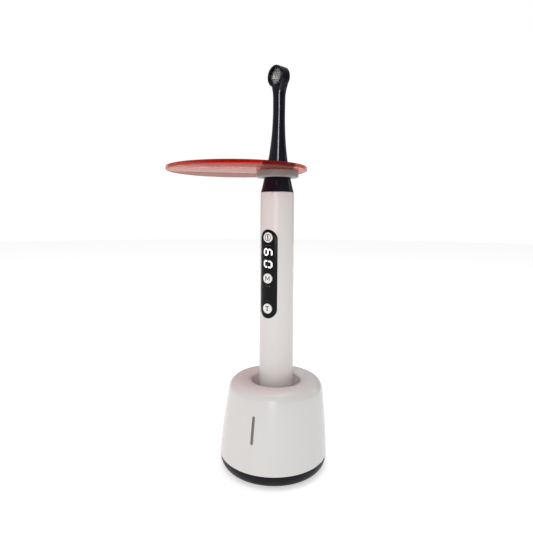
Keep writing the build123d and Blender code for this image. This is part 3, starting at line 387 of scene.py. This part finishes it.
# each finish is named after its slot in the record
finishes = {
    "dockWhite": mouldedWhite("dockWhite", (0.655, 0.648, 0.635), 0.2, 0.0025),
    "barrelWhite": mouldedWhite("barrelWhite", (0.70, 0.67, 0.65), 0.25, 0.002),
    "coverBlack": satinBlack("coverBlack", (0.006, 0.006, 0.008), 0.4, 1300, 0.006),
    "padRubber": satinBlack("padRubber", (0.02, 0.02, 0.02), 0.8, 900, 0.02),
    "sealRubber": satinBlack("sealRubber", (0.02, 0.02, 0.022), 0.7, 900, 0.01),
    "insulatorBlack": satinBlack("insulatorBlack", (0.025, 0.025, 0.027), 0.5, 1100, 0.01),
    "componentBlack": satinBlack("componentBlack", (0.02, 0.02, 0.021), 0.45, 1500, 0.01),
    "headBlack": polishedBlack("headBlack", (0.003, 0.003, 0.006), 0.06),
    "panelBlack": glossPanel("panelBlack", (0.004, 0.004, 0.005), 0.12),
    "batteryWrap": glossPanel("batteryWrap", (0.05, 0.13, 0.36), 0.25),
    "indicatorSmoke": glossPanel("indicatorSmoke", (0.17, 0.15, 0.14), 0.3),
    "buttonGrey": mouldedWhite("buttonGrey", (0.80, 0.80, 0.78), 0.35, 0.003),
    "carrierWhite": mouldedWhite("carrierWhite", (0.68, 0.68, 0.66), 0.45, 0.01),
    "ledWhite": mouldedWhite("ledWhite", (0.8, 0.8, 0.74), 0.35, 0.003),
    "digitGlow": glowing("digitGlow", (0.97, 0.99, 1.0), 1.1),
    "emitterYellow": glowing("emitterYellow", (0.9, 0.87, 0.7), 0.02, (0.42, 0.40, 0.33)),
    # the second colour of shieldRed is a painted reflection seen at glancing angles
    "shieldRed": tintedAcrylic("shieldRed", (0.74, 0.008, 0.004), (0.95, 0.52, 0.43)),
    "lensClear": clearGlass("lensClear", (0.97, 0.98, 1.0), 0.015),
    "grommetGrey": silicone("grommetGrey", (0.22, 0.20, 0.195), 0.5),
    "leadRed": silicone("leadRed", (0.5, 0.03, 0.025), 0.4),
    "reflectorChrome": metal("reflectorChrome", (0.26, 0.26, 0.26), 0.42, 300),
    "screwSteel": metal("screwSteel", (0.62, 0.62, 0.61), 0.28, 600),
    "springSteel": metal("springSteel", (0.66, 0.66, 0.65), 0.25, 500, (1, 1, 4)),
    "ballastSteel": metal("ballastSteel", (0.34, 0.34, 0.35), 0.5, 300, (4, 1, 1)),
    "capacitorMetal": metal("capacitorMetal", (0.7, 0.7, 0.72), 0.3, 400),
    "contactGold": metal("contactGold", (0.86, 0.62, 0.28), 0.2, 600),
    "copper": metal("copper", (0.78, 0.42, 0.27), 0.3, 600),
    "boardGreen": circuitBoard("boardGreen", (0.02, 0.12, 0.055)),
}
printDark = satinBlack("printDark", (0.03, 0.03, 0.032), 0.5, 1500, 0.001)
printGrey = satinBlack("printGrey", (0.16, 0.16, 0.17), 0.45, 1500, 0.001)
unlitGrey = satinBlack("unlitGrey", (0.03, 0.03, 0.033), 0.3, 1500, 0.001)
print("finishes mixed:", len(finishes))


def slotOf(finish):
    return "".join("_" + letter.lower() if letter.isupper() else letter for letter in finish)


def finishPiece(name, bm, body, finish, replaced=(), sharpAngle=32, material=None):
    # shades the mesh smooth up to an angle, makes the object and hands it to its body
    for face in bm.faces:
        face.smooth = True
    for edge in bm.edges:
        bend = edge.calc_face_angle(0) if edge.is_manifold else math.pi
        edge.smooth = bend < math.radians(sharpAngle)
    mesh = bpy.data.meshes.new(name)
    bm.to_mesh(mesh)
    bm.free()
    mesh.materials.append(material or finishes[finish])
    piece = bpy.data.objects.new(name, mesh)
    scene.collection.objects.link(piece)
    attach(piece, body)
    slotOf(finish)
    if replaced:
        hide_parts(*replaced)
    if finish == "headBlack":
        polishedPieces.objects.link(piece)


def mergedCopy(node, finish):
    # the node's own shape with its loose triangles joined, so that light runs over it
    bm = bmesh.new()
    bm.from_mesh(nodes[node].data)
    bmesh.ops.remove_doubles(bm, verts=bm.verts, dist=1e-6)
    finishPiece("smooth_" + node, bm, nodes[node]["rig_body"], finish, (node,))


def spun(outline, steps=128, closed=False):
    # spins an outline of (radius, height, corner rounding) in millimetres around Z
    bm = bmesh.new()
    corners = [bm.verts.new((x * mm, 0, z * mm)) for x, z, rounding in outline]
    pairs = list(zip(corners, corners[1:]))
    if closed:
        pairs.append((corners[-1], corners[0]))
    for pair in pairs:
        bm.edges.new(pair)
    for corner, (x, z, rounding) in zip(corners, outline):
        if rounding:
            bmesh.ops.bevel(
                bm, geom=[corner], offset=rounding * mm, offset_type="OFFSET",
                segments=5, profile=0.5, affect="VERTICES", material=-1,
            )
    bmesh.ops.spin(
        bm, geom=bm.verts[:] + bm.edges[:], cent=(0, 0, 0), axis=(0, 0, 1),
        angle=math.tau, steps=steps, use_merge=True,
    )
    bmesh.ops.remove_doubles(bm, verts=bm.verts, dist=1e-7)
    bmesh.ops.recalc_face_normals(bm, faces=bm.faces)
    return bm


def moved(bm, matrix):
    bmesh.ops.transform(bm, matrix=matrix, verts=bm.verts)
    return bm


# CAD nodes that only get a finish
carried = {
    "sealRubber": ["tail_seal", "head_seal"],
    "screwSteel": ["cover_screws", "dock_board_screws", "handle_screws"],
    "ballastSteel": ["ballast_plate"],
    "boardGreen": ["dock_board", "indicator_board", "main_board", "led_board"],
    "insulatorBlack": [
        "contact_block", "contact_holder", "display_module", "coaxial_socket", "plug_holder",
    ],
    "contactGold": [
        "pin_sleeves", "centre_pin", "ring_pin", "centre_contact", "ring_contact",
        "battery_contact", "coaxial_plug",
    ],
    "springSteel": ["centre_pin_spring", "ring_pin_spring", "battery_spring", "snap_ring"],
    "componentBlack": ["switches", "controller_chip", "inductor", "buzzer"],
    "capacitorMetal": ["capacitors"], "carrierWhite": ["carrier"],
    "batteryWrap": ["battery"], "ledWhite": ["indicator_leds"], "leadRed": ["led_leads"],
    "copper": ["heat_slug"], "emitterYellow": ["led_emitter"],
}
# CAD nodes that show large smooth faces
merged = {
    "dock_housing": "dockWhite", "bottom_cover": "coverBlack", "power_inlet": "insulatorBlack",
    "indicator_bar": "indicatorSmoke", "tail_cap": "barrelWhite", "barrel": "barrelWhite",
    "window_panel": "panelBlack", "head_shell": "headBlack", "lens": "lensClear",
}
for finish, names in carried.items():
    for node in names:
        nodes[node].data.materials.clear()
        nodes[node].data.materials.append(finishes[finish])
for node, finish in merged.items():
    mergedCopy(node, finish)
print("CAD nodes finished")


def layFloor():
    mesh = bpy.data.meshes.new("floor")
    bm = bmesh.new()
    bmesh.ops.create_circle(bm, cap_ends=True, segments=96, radius=studio["floorSize"] / 2)
    bm.to_mesh(mesh)
    bm.free()
    floor = bpy.data.objects.new("floor", mesh)
    scene.collection.objects.link(floor)
    paper = Finish("floorPaper", (0.82, 0.82, 0.82), 0.8, Emission_Strength=studio["floorGlow"])
    paper.put("Emission Color", (1, 1, 1, 1))
    mesh.materials.append(paper.material)


layFloor()

# rubber pad under the dock, with moulded rings that grip the table
pad = {
    "radius": 22.5, "forward": 4.0, "edge": 0.3,
    "firstRing": 4.0, "plainEdge": 2.0, "ringPitch": 1.5, "ringWidth": 0.8, "ringDepth": 0.25,
}


def makePad():
    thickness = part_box("base_pad")[1].z / mm
    outline = [(0, 0, 0)]
    inner = pad["firstRing"]
    while inner + pad["ringWidth"] < pad["radius"] - pad["plainEdge"]:
        outer = inner + pad["ringWidth"]
        depth = pad["ringDepth"]
        outline += [(inner, 0, 0), (inner, depth, 0), (outer, depth, 0), (outer, 0, 0)]
        inner += pad["ringPitch"]
    outline += [(pad["radius"], 0, pad["edge"]), (pad["radius"], thickness, 0), (0, thickness, 0)]
    bm = moved(spun(outline), Matrix.Translation((0, -pad["forward"] * mm, 0)))
    finishPiece("gripPad", bm, "dock", "padRubber", ("base_pad",))


# raised rim round the hole of the charger's plug, on the back of the housing
inletRing = {
    "inner": 4.35, "outer": 5.3, "behindInlet": 0.3, "proud": 0.2, "depth": 1.1, "rounding": 0.18,
}


def makeInletRing():
    low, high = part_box("power_inlet")
    inner, outer = inletRing["inner"], inletRing["outer"]
    back, front = -inletRing["depth"], inletRing["proud"]
    outline = [
        (inner, back, 0), (outer, back, 0),
        (outer, front, inletRing["rounding"]), (inner, front, inletRing["rounding"]),
    ]
    matrix = facing(180, high.y + inletRing["behindInlet"] * mm, (low.z + high.z) / 2)
    bm = moved(spun(outline, 64, closed=True), matrix)
    finishPiece("inletRim", bm, "dock", "dockWhite")


makePad()
makeInletRing()
print("dock dressed")

# control window: pale rim, faint printed dashes and the digits' strokes
window = {
    "panelHalfWidth": 6.07, "rimInner": 6.11, "rimOuter": 6.6, "rimRise": 0.1, "rimSink": 0.3,
    "rimRounding": 0.04, "dashWidth": 0.32, "markRise": 0.012, "markThickness": 0.05,
}
# each dash: across, height above the window's middle, length, slant in degrees
dashes = [
    (-1.0, 18.0, 1.5, 0), (1.2, 18.0, 1.5, 0), (-0.9, -7.3, 1.4, -8), (1.3, -7.6, 1.3, -8),
    (0.3, -17.0, 1.7, -10),
]
# seven-segment digits, with their tops to the right: height above the middle, unlit stroke
digits = {"six": (13.8, "upperRight"), "nought": (6.4, "middle")}
digitShape = {
    "halfWidth": 1.85, "halfHeight": 2.65, "lying": 1.5, "upright": 1.0, "stroke": 0.8,
    "slant": 0.12, "sink": 0.03, "depth": 0.8,
}
strokeRounding = 0.2  # share of a stroke's width
# the barrel is straight in its lower part and tapers to its top
barrelShape = {"straight": 44.0 * mm, "topRadius": 10.5 * mm}
barrelLow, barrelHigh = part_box("barrel")


def handleSurface(height):
    lowRadius = (barrelHigh.x - barrelLow.x) / 2
    start = barrelLow.z + barrelShape["straight"]
    share = max(0, (height - start) / (barrelHigh.z - start))
    return lowRadius + (barrelShape["topRadius"] - lowRadius) * share


def wrapped(bm, middle):
    # lays a flat mesh (x across, y up, z thickness) onto the tapering handle
    for vertex in bm.verts:
        height = middle + vertex.co.y
        radius = handleSurface(height)
        turn = handleTurn + math.degrees(math.asin(vertex.co.x / radius))
        vertex.co = outward(turn) * (radius + vertex.co.z) + Vector((0, 0, height))
    return bm


def slotLoop(bm, radius, halfLength):
    # a circle pulled apart into a slot's outline
    verts = bmesh.ops.create_circle(bm, cap_ends=False, segments=96, radius=radius)["verts"]
    for vertex in verts:
        if abs(vertex.co.y) > 1e-7:
            vertex.co.y += math.copysign(halfLength - radius, vertex.co.y)


def bar(bm, start, end, width, low, high):
    # a straight printed stroke between two points of the flat panel
    start = Vector(start)
    end = Vector(end)
    length = (end - start).length
    angle = math.atan2(end.y - start.y, end.x - start.x)
    middle = (start + end) / 2
    matrix = (
        Matrix.Translation((middle.x * mm, middle.y * mm, (low + high) / 2 * mm))
        @ Matrix.Rotation(angle, 4, "Z")
        @ Matrix.Diagonal((length * mm, width * mm, (high - low) * mm, 1))
    )
    made = bmesh.ops.create_cube(bm, size=1, matrix=matrix)["verts"]
    upright = [
        edge for edge in {edge for vertex in made for edge in vertex.link_edges}
        if abs(edge.verts[0].co.z - edge.verts[1].co.z) > (high - low) * 0.5 * mm
    ]
    bmesh.ops.bevel(
        bm, geom=upright, offset=width * strokeRounding * mm, offset_type="OFFSET", segments=3,
        profile=0.5, affect="EDGES", material=-1,
    )


def digitStrokes(height):
    # the seven strokes' ends on the flat panel, where the digit's own up is x and its right -y
    half, tall = digitShape["halfWidth"], digitShape["halfHeight"]
    slant, lying, upright = (digitShape[key] for key in ("slant", "lying", "upright"))
    strokes = []
    for name, up in (("bottom", -tall), ("middle", 0), ("top", tall)):
        centre = height - slant * up
        strokes.append((name, (up, centre + lying), (up, centre - lying)))
    for sideName, side in (("Left", -half), ("Right", half)):
        for levelName, up in (("lower", -tall / 2), ("upper", tall / 2)):
            ends = [(x, height - side - slant * x) for x in (up - upright, up + upright)]
            strokes.append((levelName + sideName, *ends))
    return strokes


def extruded(bm, rise):
    # lifts a copy of a flat face ring and closes its sides; returns the lifted vertices
    raised = bmesh.ops.extrude_face_region(bm, geom=bm.faces[:])["geom"]
    lifted = [item for item in raised if isinstance(item, bmesh.types.BMVert)]
    bmesh.ops.translate(bm, verts=lifted, vec=(0, 0, rise))
    bmesh.ops.recalc_face_normals(bm, faces=bm.faces)
    return lifted


def makeRim(middle, halfLength):
    bm = bmesh.new()
    for radius in (window["rimInner"], window["rimOuter"]):
        slotLoop(bm, radius * mm, halfLength + (radius - window["panelHalfWidth"]) * mm)
    bmesh.ops.bridge_loops(bm, edges=bm.edges)
    moved(bm, Matrix.Translation((0, 0, -window["rimSink"] * mm)))
    lifted = extruded(bm, (window["rimSink"] + window["rimRise"]) * mm)
    edges = [
        edge for edge in bm.edges
        if all(vertex in lifted for vertex in edge.verts) and edge.calc_face_angle(0) > 1
    ]
    bmesh.ops.bevel(
        bm, geom=edges, offset=window["rimRounding"] * mm, offset_type="OFFSET", segments=3,
        profile=0.5, affect="EDGES", material=-1,
    )
    finishPiece("windowRim", wrapped(bm, middle), "handle", "barrelWhite")


def makeMarks(middle):
    rise = window["markRise"]
    base = rise - window["markThickness"]
    printed, lit, unlit = bmesh.new(), bmesh.new(), bmesh.new()
    for x, y, length, slant in dashes:
        half = Matrix.Rotation(math.radians(slant), 2) @ Vector((length / 2, 0))
        ends = (x - half.x, y - half.y), (x + half.x, y + half.y)
        bar(printed, *ends, window["dashWidth"], base, rise)
    for height, dark in digits.values():
        for name, *ends in digitStrokes(height):
            if name == dark:
                bar(unlit, *ends, digitShape["stroke"], base, rise)
            else:
                bar(lit, *ends, digitShape["stroke"], -digitShape["depth"], -digitShape["sink"])
    for bm in (printed, lit, unlit):
        wrapped(bm, middle)
    finishPiece("panelDashes", printed, "handle", "panelBlack", material=printGrey)
    finishPiece("litStrokes", lit, "handle", "digitGlow", ("digit_segments",))
    finishPiece("unlitStrokes", unlit, "handle", "panelBlack", material=unlitGrey)


panelLow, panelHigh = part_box("window_panel")
makeRim((panelLow.z + panelHigh.z) / 2, (panelHigh.z - panelLow.z) / 2)
makeMarks((panelLow.z + panelHigh.z) / 2)
print("window dressed")

# dished button caps, each with its printed symbol
buttonShape = {
    "cap": 3.2, "flange": 3.9, "flangeThickness": 0.6, "edge": 0.45, "dish": 0.12,
    "dishRadius": 2.3, "dishRounding": 0.5, "inkRise": 0.015, "inkDepth": 0.1,
}
# each stroke of a symbol: start, end, width, in millimetres from the button's middle
symbols = {
    "power": [((0, -1.45), (0, 1.45), 0.7)],
    "mode": [
        ((-1.35, -1.45), (-1.35, 1.45), 0.42), ((1.35, -1.45), (1.35, 1.45), 0.42),
        ((-1.35, 1.45), (0, -0.9), 0.42), ((1.35, 1.45), (0, -0.9), 0.42),
    ],
    "time": [
        ((-1.35, 1.3), (1.35, 1.3), 0.5), ((0, 1.3), (0, -1.4), 0.65),
        ((-0.65, -1.4), (0.65, -1.4), 0.35),
    ],
}
ringMark = {"inner": 1.75, "outer": 2.15}


def addRingMark(ink, base, top):
    inner, outer = ringMark["inner"], ringMark["outer"]
    ring = spun([(inner, base, 0), (outer, base, 0), (outer, top, 0), (inner, top, 0)], 48, True)
    mesh = bpy.data.meshes.new("ring")
    ring.to_mesh(mesh)
    ring.free()
    ink.from_mesh(mesh)
    bpy.data.meshes.remove(mesh)


def makeButton(name, strokes):
    node = name + "_button"
    low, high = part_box(node)
    matrix = facing(handleTurn, 0, (low.z + high.z) / 2)
    bottom, top = reach(node, outward(handleTurn))
    face = bottom + buttonShape["flangeThickness"]
    dish = top - buttonShape["dish"]
    outline = [
        (0, bottom, 0), (buttonShape["flange"], bottom, 0), (buttonShape["flange"], face, 0),
        (buttonShape["cap"], face, 0), (buttonShape["cap"], top, buttonShape["edge"]),
        (buttonShape["dishRadius"], dish, buttonShape["dishRounding"]), (0, dish, 0),
    ]
    finishPiece(name + "Cap", moved(spun(outline, 64), matrix), node, "buttonGrey", (node,))
    ink = bmesh.new()
    base, top = dish - buttonShape["inkDepth"], dish + buttonShape["inkRise"]
    for start, end, width in strokes:
        bar(ink, start, end, width, base, top)
    if name == "power":
        addRingMark(ink, base, top)
    finishPiece(name + "Symbol", moved(ink, matrix), node, "componentBlack", material=printDark)


for name, strokes in symbols.items():
    makeButton(name, strokes)
print("buttons made")

# bezel and faceted reflector, around the axis that the head faces along
lamp = {
    "pocket": 5.65, "bezelInner": 4.85, "bezelMouth": 5.15, "bezelEdge": 0.2,
    "bowlThroat": 2.6, "bowlMouth": 4.95, "bowlBulge": 0.45, "facets": 14, "facetEdge": 5,
}


def makeLamp():
    low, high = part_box("lens_bezel")
    matrix = facing(headTurn, 0, (low.z + high.z) / 2)
    pocket = lamp["pocket"]
    back, front = reach("lens_bezel", outward(headTurn))
    outline = [
        (lamp["bezelInner"], back, 0), (pocket, back, 0), (pocket, front, lamp["bezelEdge"] / 2),
        (lamp["bezelMouth"], front, lamp["bezelEdge"]),
    ]
    bezel = moved(spun(outline, 96, closed=True), matrix)
    finishPiece("lensBezel", bezel, "head", "headBlack", ("lens_bezel",))
    back, front = reach("reflector", outward(headTurn))
    waist = (lamp["bowlThroat"] + lamp["bowlMouth"]) / 2 + lamp["bowlBulge"]
    outline = [
        (lamp["bowlThroat"], back, 0), (pocket, back, 0), (pocket, front, 0),
        (lamp["bowlMouth"], front, 0), (waist, (front + back) / 2, 0),
    ]
    bowl = moved(spun(outline, lamp["facets"], closed=True), matrix)
    finishPiece("facetedBowl", bowl, "head", "reflectorChrome", ("reflector",), lamp["facetEdge"])


makeLamp()
print("lamp made")

# light shield: a disc with a rounded rim and an off-centre hole
disc = {"hole": 10.28, "edge": 0.45, "segments": 192}


def makeDisc():
    low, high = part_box("shield_disc")
    middle = (low + high) / 2
    radius = (high.x - low.x) / 2
    bm = bmesh.new()
    for x, y, size in ((middle.x, middle.y, radius), (0, 0, disc["hole"] * mm)):
        bmesh.ops.create_circle(
            bm, cap_ends=False, segments=disc["segments"], radius=size,
            matrix=Matrix.Translation((x, y, low.z)),
        )
    bmesh.ops.bridge_loops(bm, edges=bm.edges)
    extruded(bm, high.z - low.z)
    rim = [
        edge for edge in bm.edges
        if edge.calc_face_angle(0) > 1 and (edge.verts[0].co.xy - middle.xy).length > radius * 0.99
    ]
    bmesh.ops.bevel(
        bm, geom=rim, offset=disc["edge"] * mm, offset_type="OFFSET", segments=5,
        profile=0.5, affect="EDGES", material=-1,
    )
    finishPiece("redDisc", bm, "shield", "shieldRed", ("shield_disc",))


# grommet that holds the disc: a collar under it and a sleeve through its hole, the sleeve painted
# near-black as painted shade for the dark band seen through the disc
grommet = {
    "lowBore": 8.41, "highBore": 7.79, "sleeve": 10.2, "lip": 10.9, "discGap": 0.05,
    "boreEdge": 0.2, "collarEdge": 0.9, "seatEdge": 0.5, "lipEdge": 0.15, "topEdge": 0.3,
}


def makeGrommet():
    low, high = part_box("shield_grommet")
    discLow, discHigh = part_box("shield_disc")
    collar, bottom, top = high.x / mm, low.z / mm, high.z / mm
    under = discLow.z / mm - grommet["discGap"]
    over = discHigh.z / mm + grommet["discGap"]
    outline = [
        (grommet["lowBore"], bottom, grommet["boreEdge"]), (collar, bottom, grommet["collarEdge"]),
        (collar, under, grommet["seatEdge"]), (grommet["lowBore"], under, 0),
    ]
    made = spun(outline, closed=True)
    finishPiece("softGrommet", made, "shield_mount", "grommetGrey", ("shield_grommet",))
    bore, sleeve, lip = (grommet[key] for key in ("highBore", "sleeve", "lip"))
    outline = [
        (bore, under, 0), (sleeve, under, 0), (sleeve, over, 0),
        (lip, over, grommet["lipEdge"]), (lip, top, grommet["topEdge"]),
        (bore, top, grommet["topEdge"]),
    ]
    made = spun(outline, closed=True)
    # painted shade: the sleeve belongs to the grey grommet but takes the near-black seal rubber
    # finish
    paintedShadeFinish = finishes["sealRubber"]
    finishPiece("grommetSleeve", made, "shield_mount", "grommetGrey", material=paintedShadeFinish)


makeDisc()
makeGrommet()
